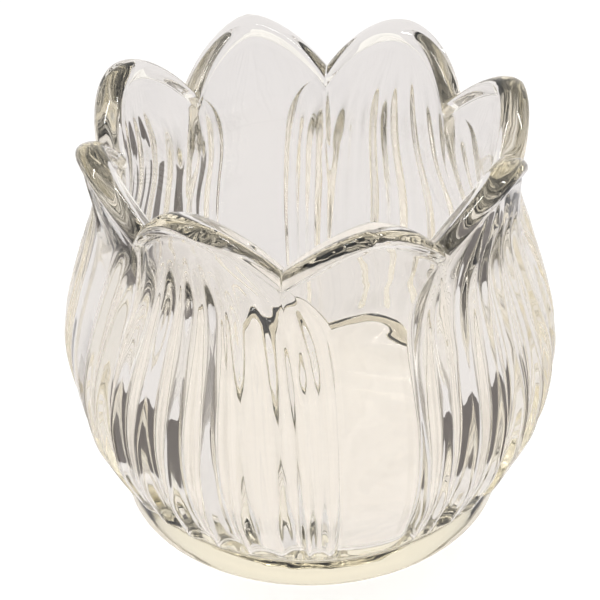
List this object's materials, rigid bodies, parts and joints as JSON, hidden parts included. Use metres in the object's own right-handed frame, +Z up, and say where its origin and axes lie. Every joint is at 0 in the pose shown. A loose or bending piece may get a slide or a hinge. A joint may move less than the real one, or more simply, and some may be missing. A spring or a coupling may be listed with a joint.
{
  "type": "tealight holder",
  "caption": "Tulip-shaped tealight holder of thick clear pressed glass, with ribbed and smooth petals, a rounded scalloped rim and a short round foot.",
  "frame": {"origin": "centre of the foot's flat underside", "axes": "+Z up along the bowl's axis, with a smooth petal centred on each of +X, -X, +Y and -Y"},
  "size_m": [0.0884, 0.0884, 0.0777],
  "materials": {
    "clear_glass": "clear, fire-polished, with a faint warm olive tint in thick sections"
  },
  "bodies": {
    "root": {"tulip_glass": "clear_glass"}
  },
  "joints": []
}
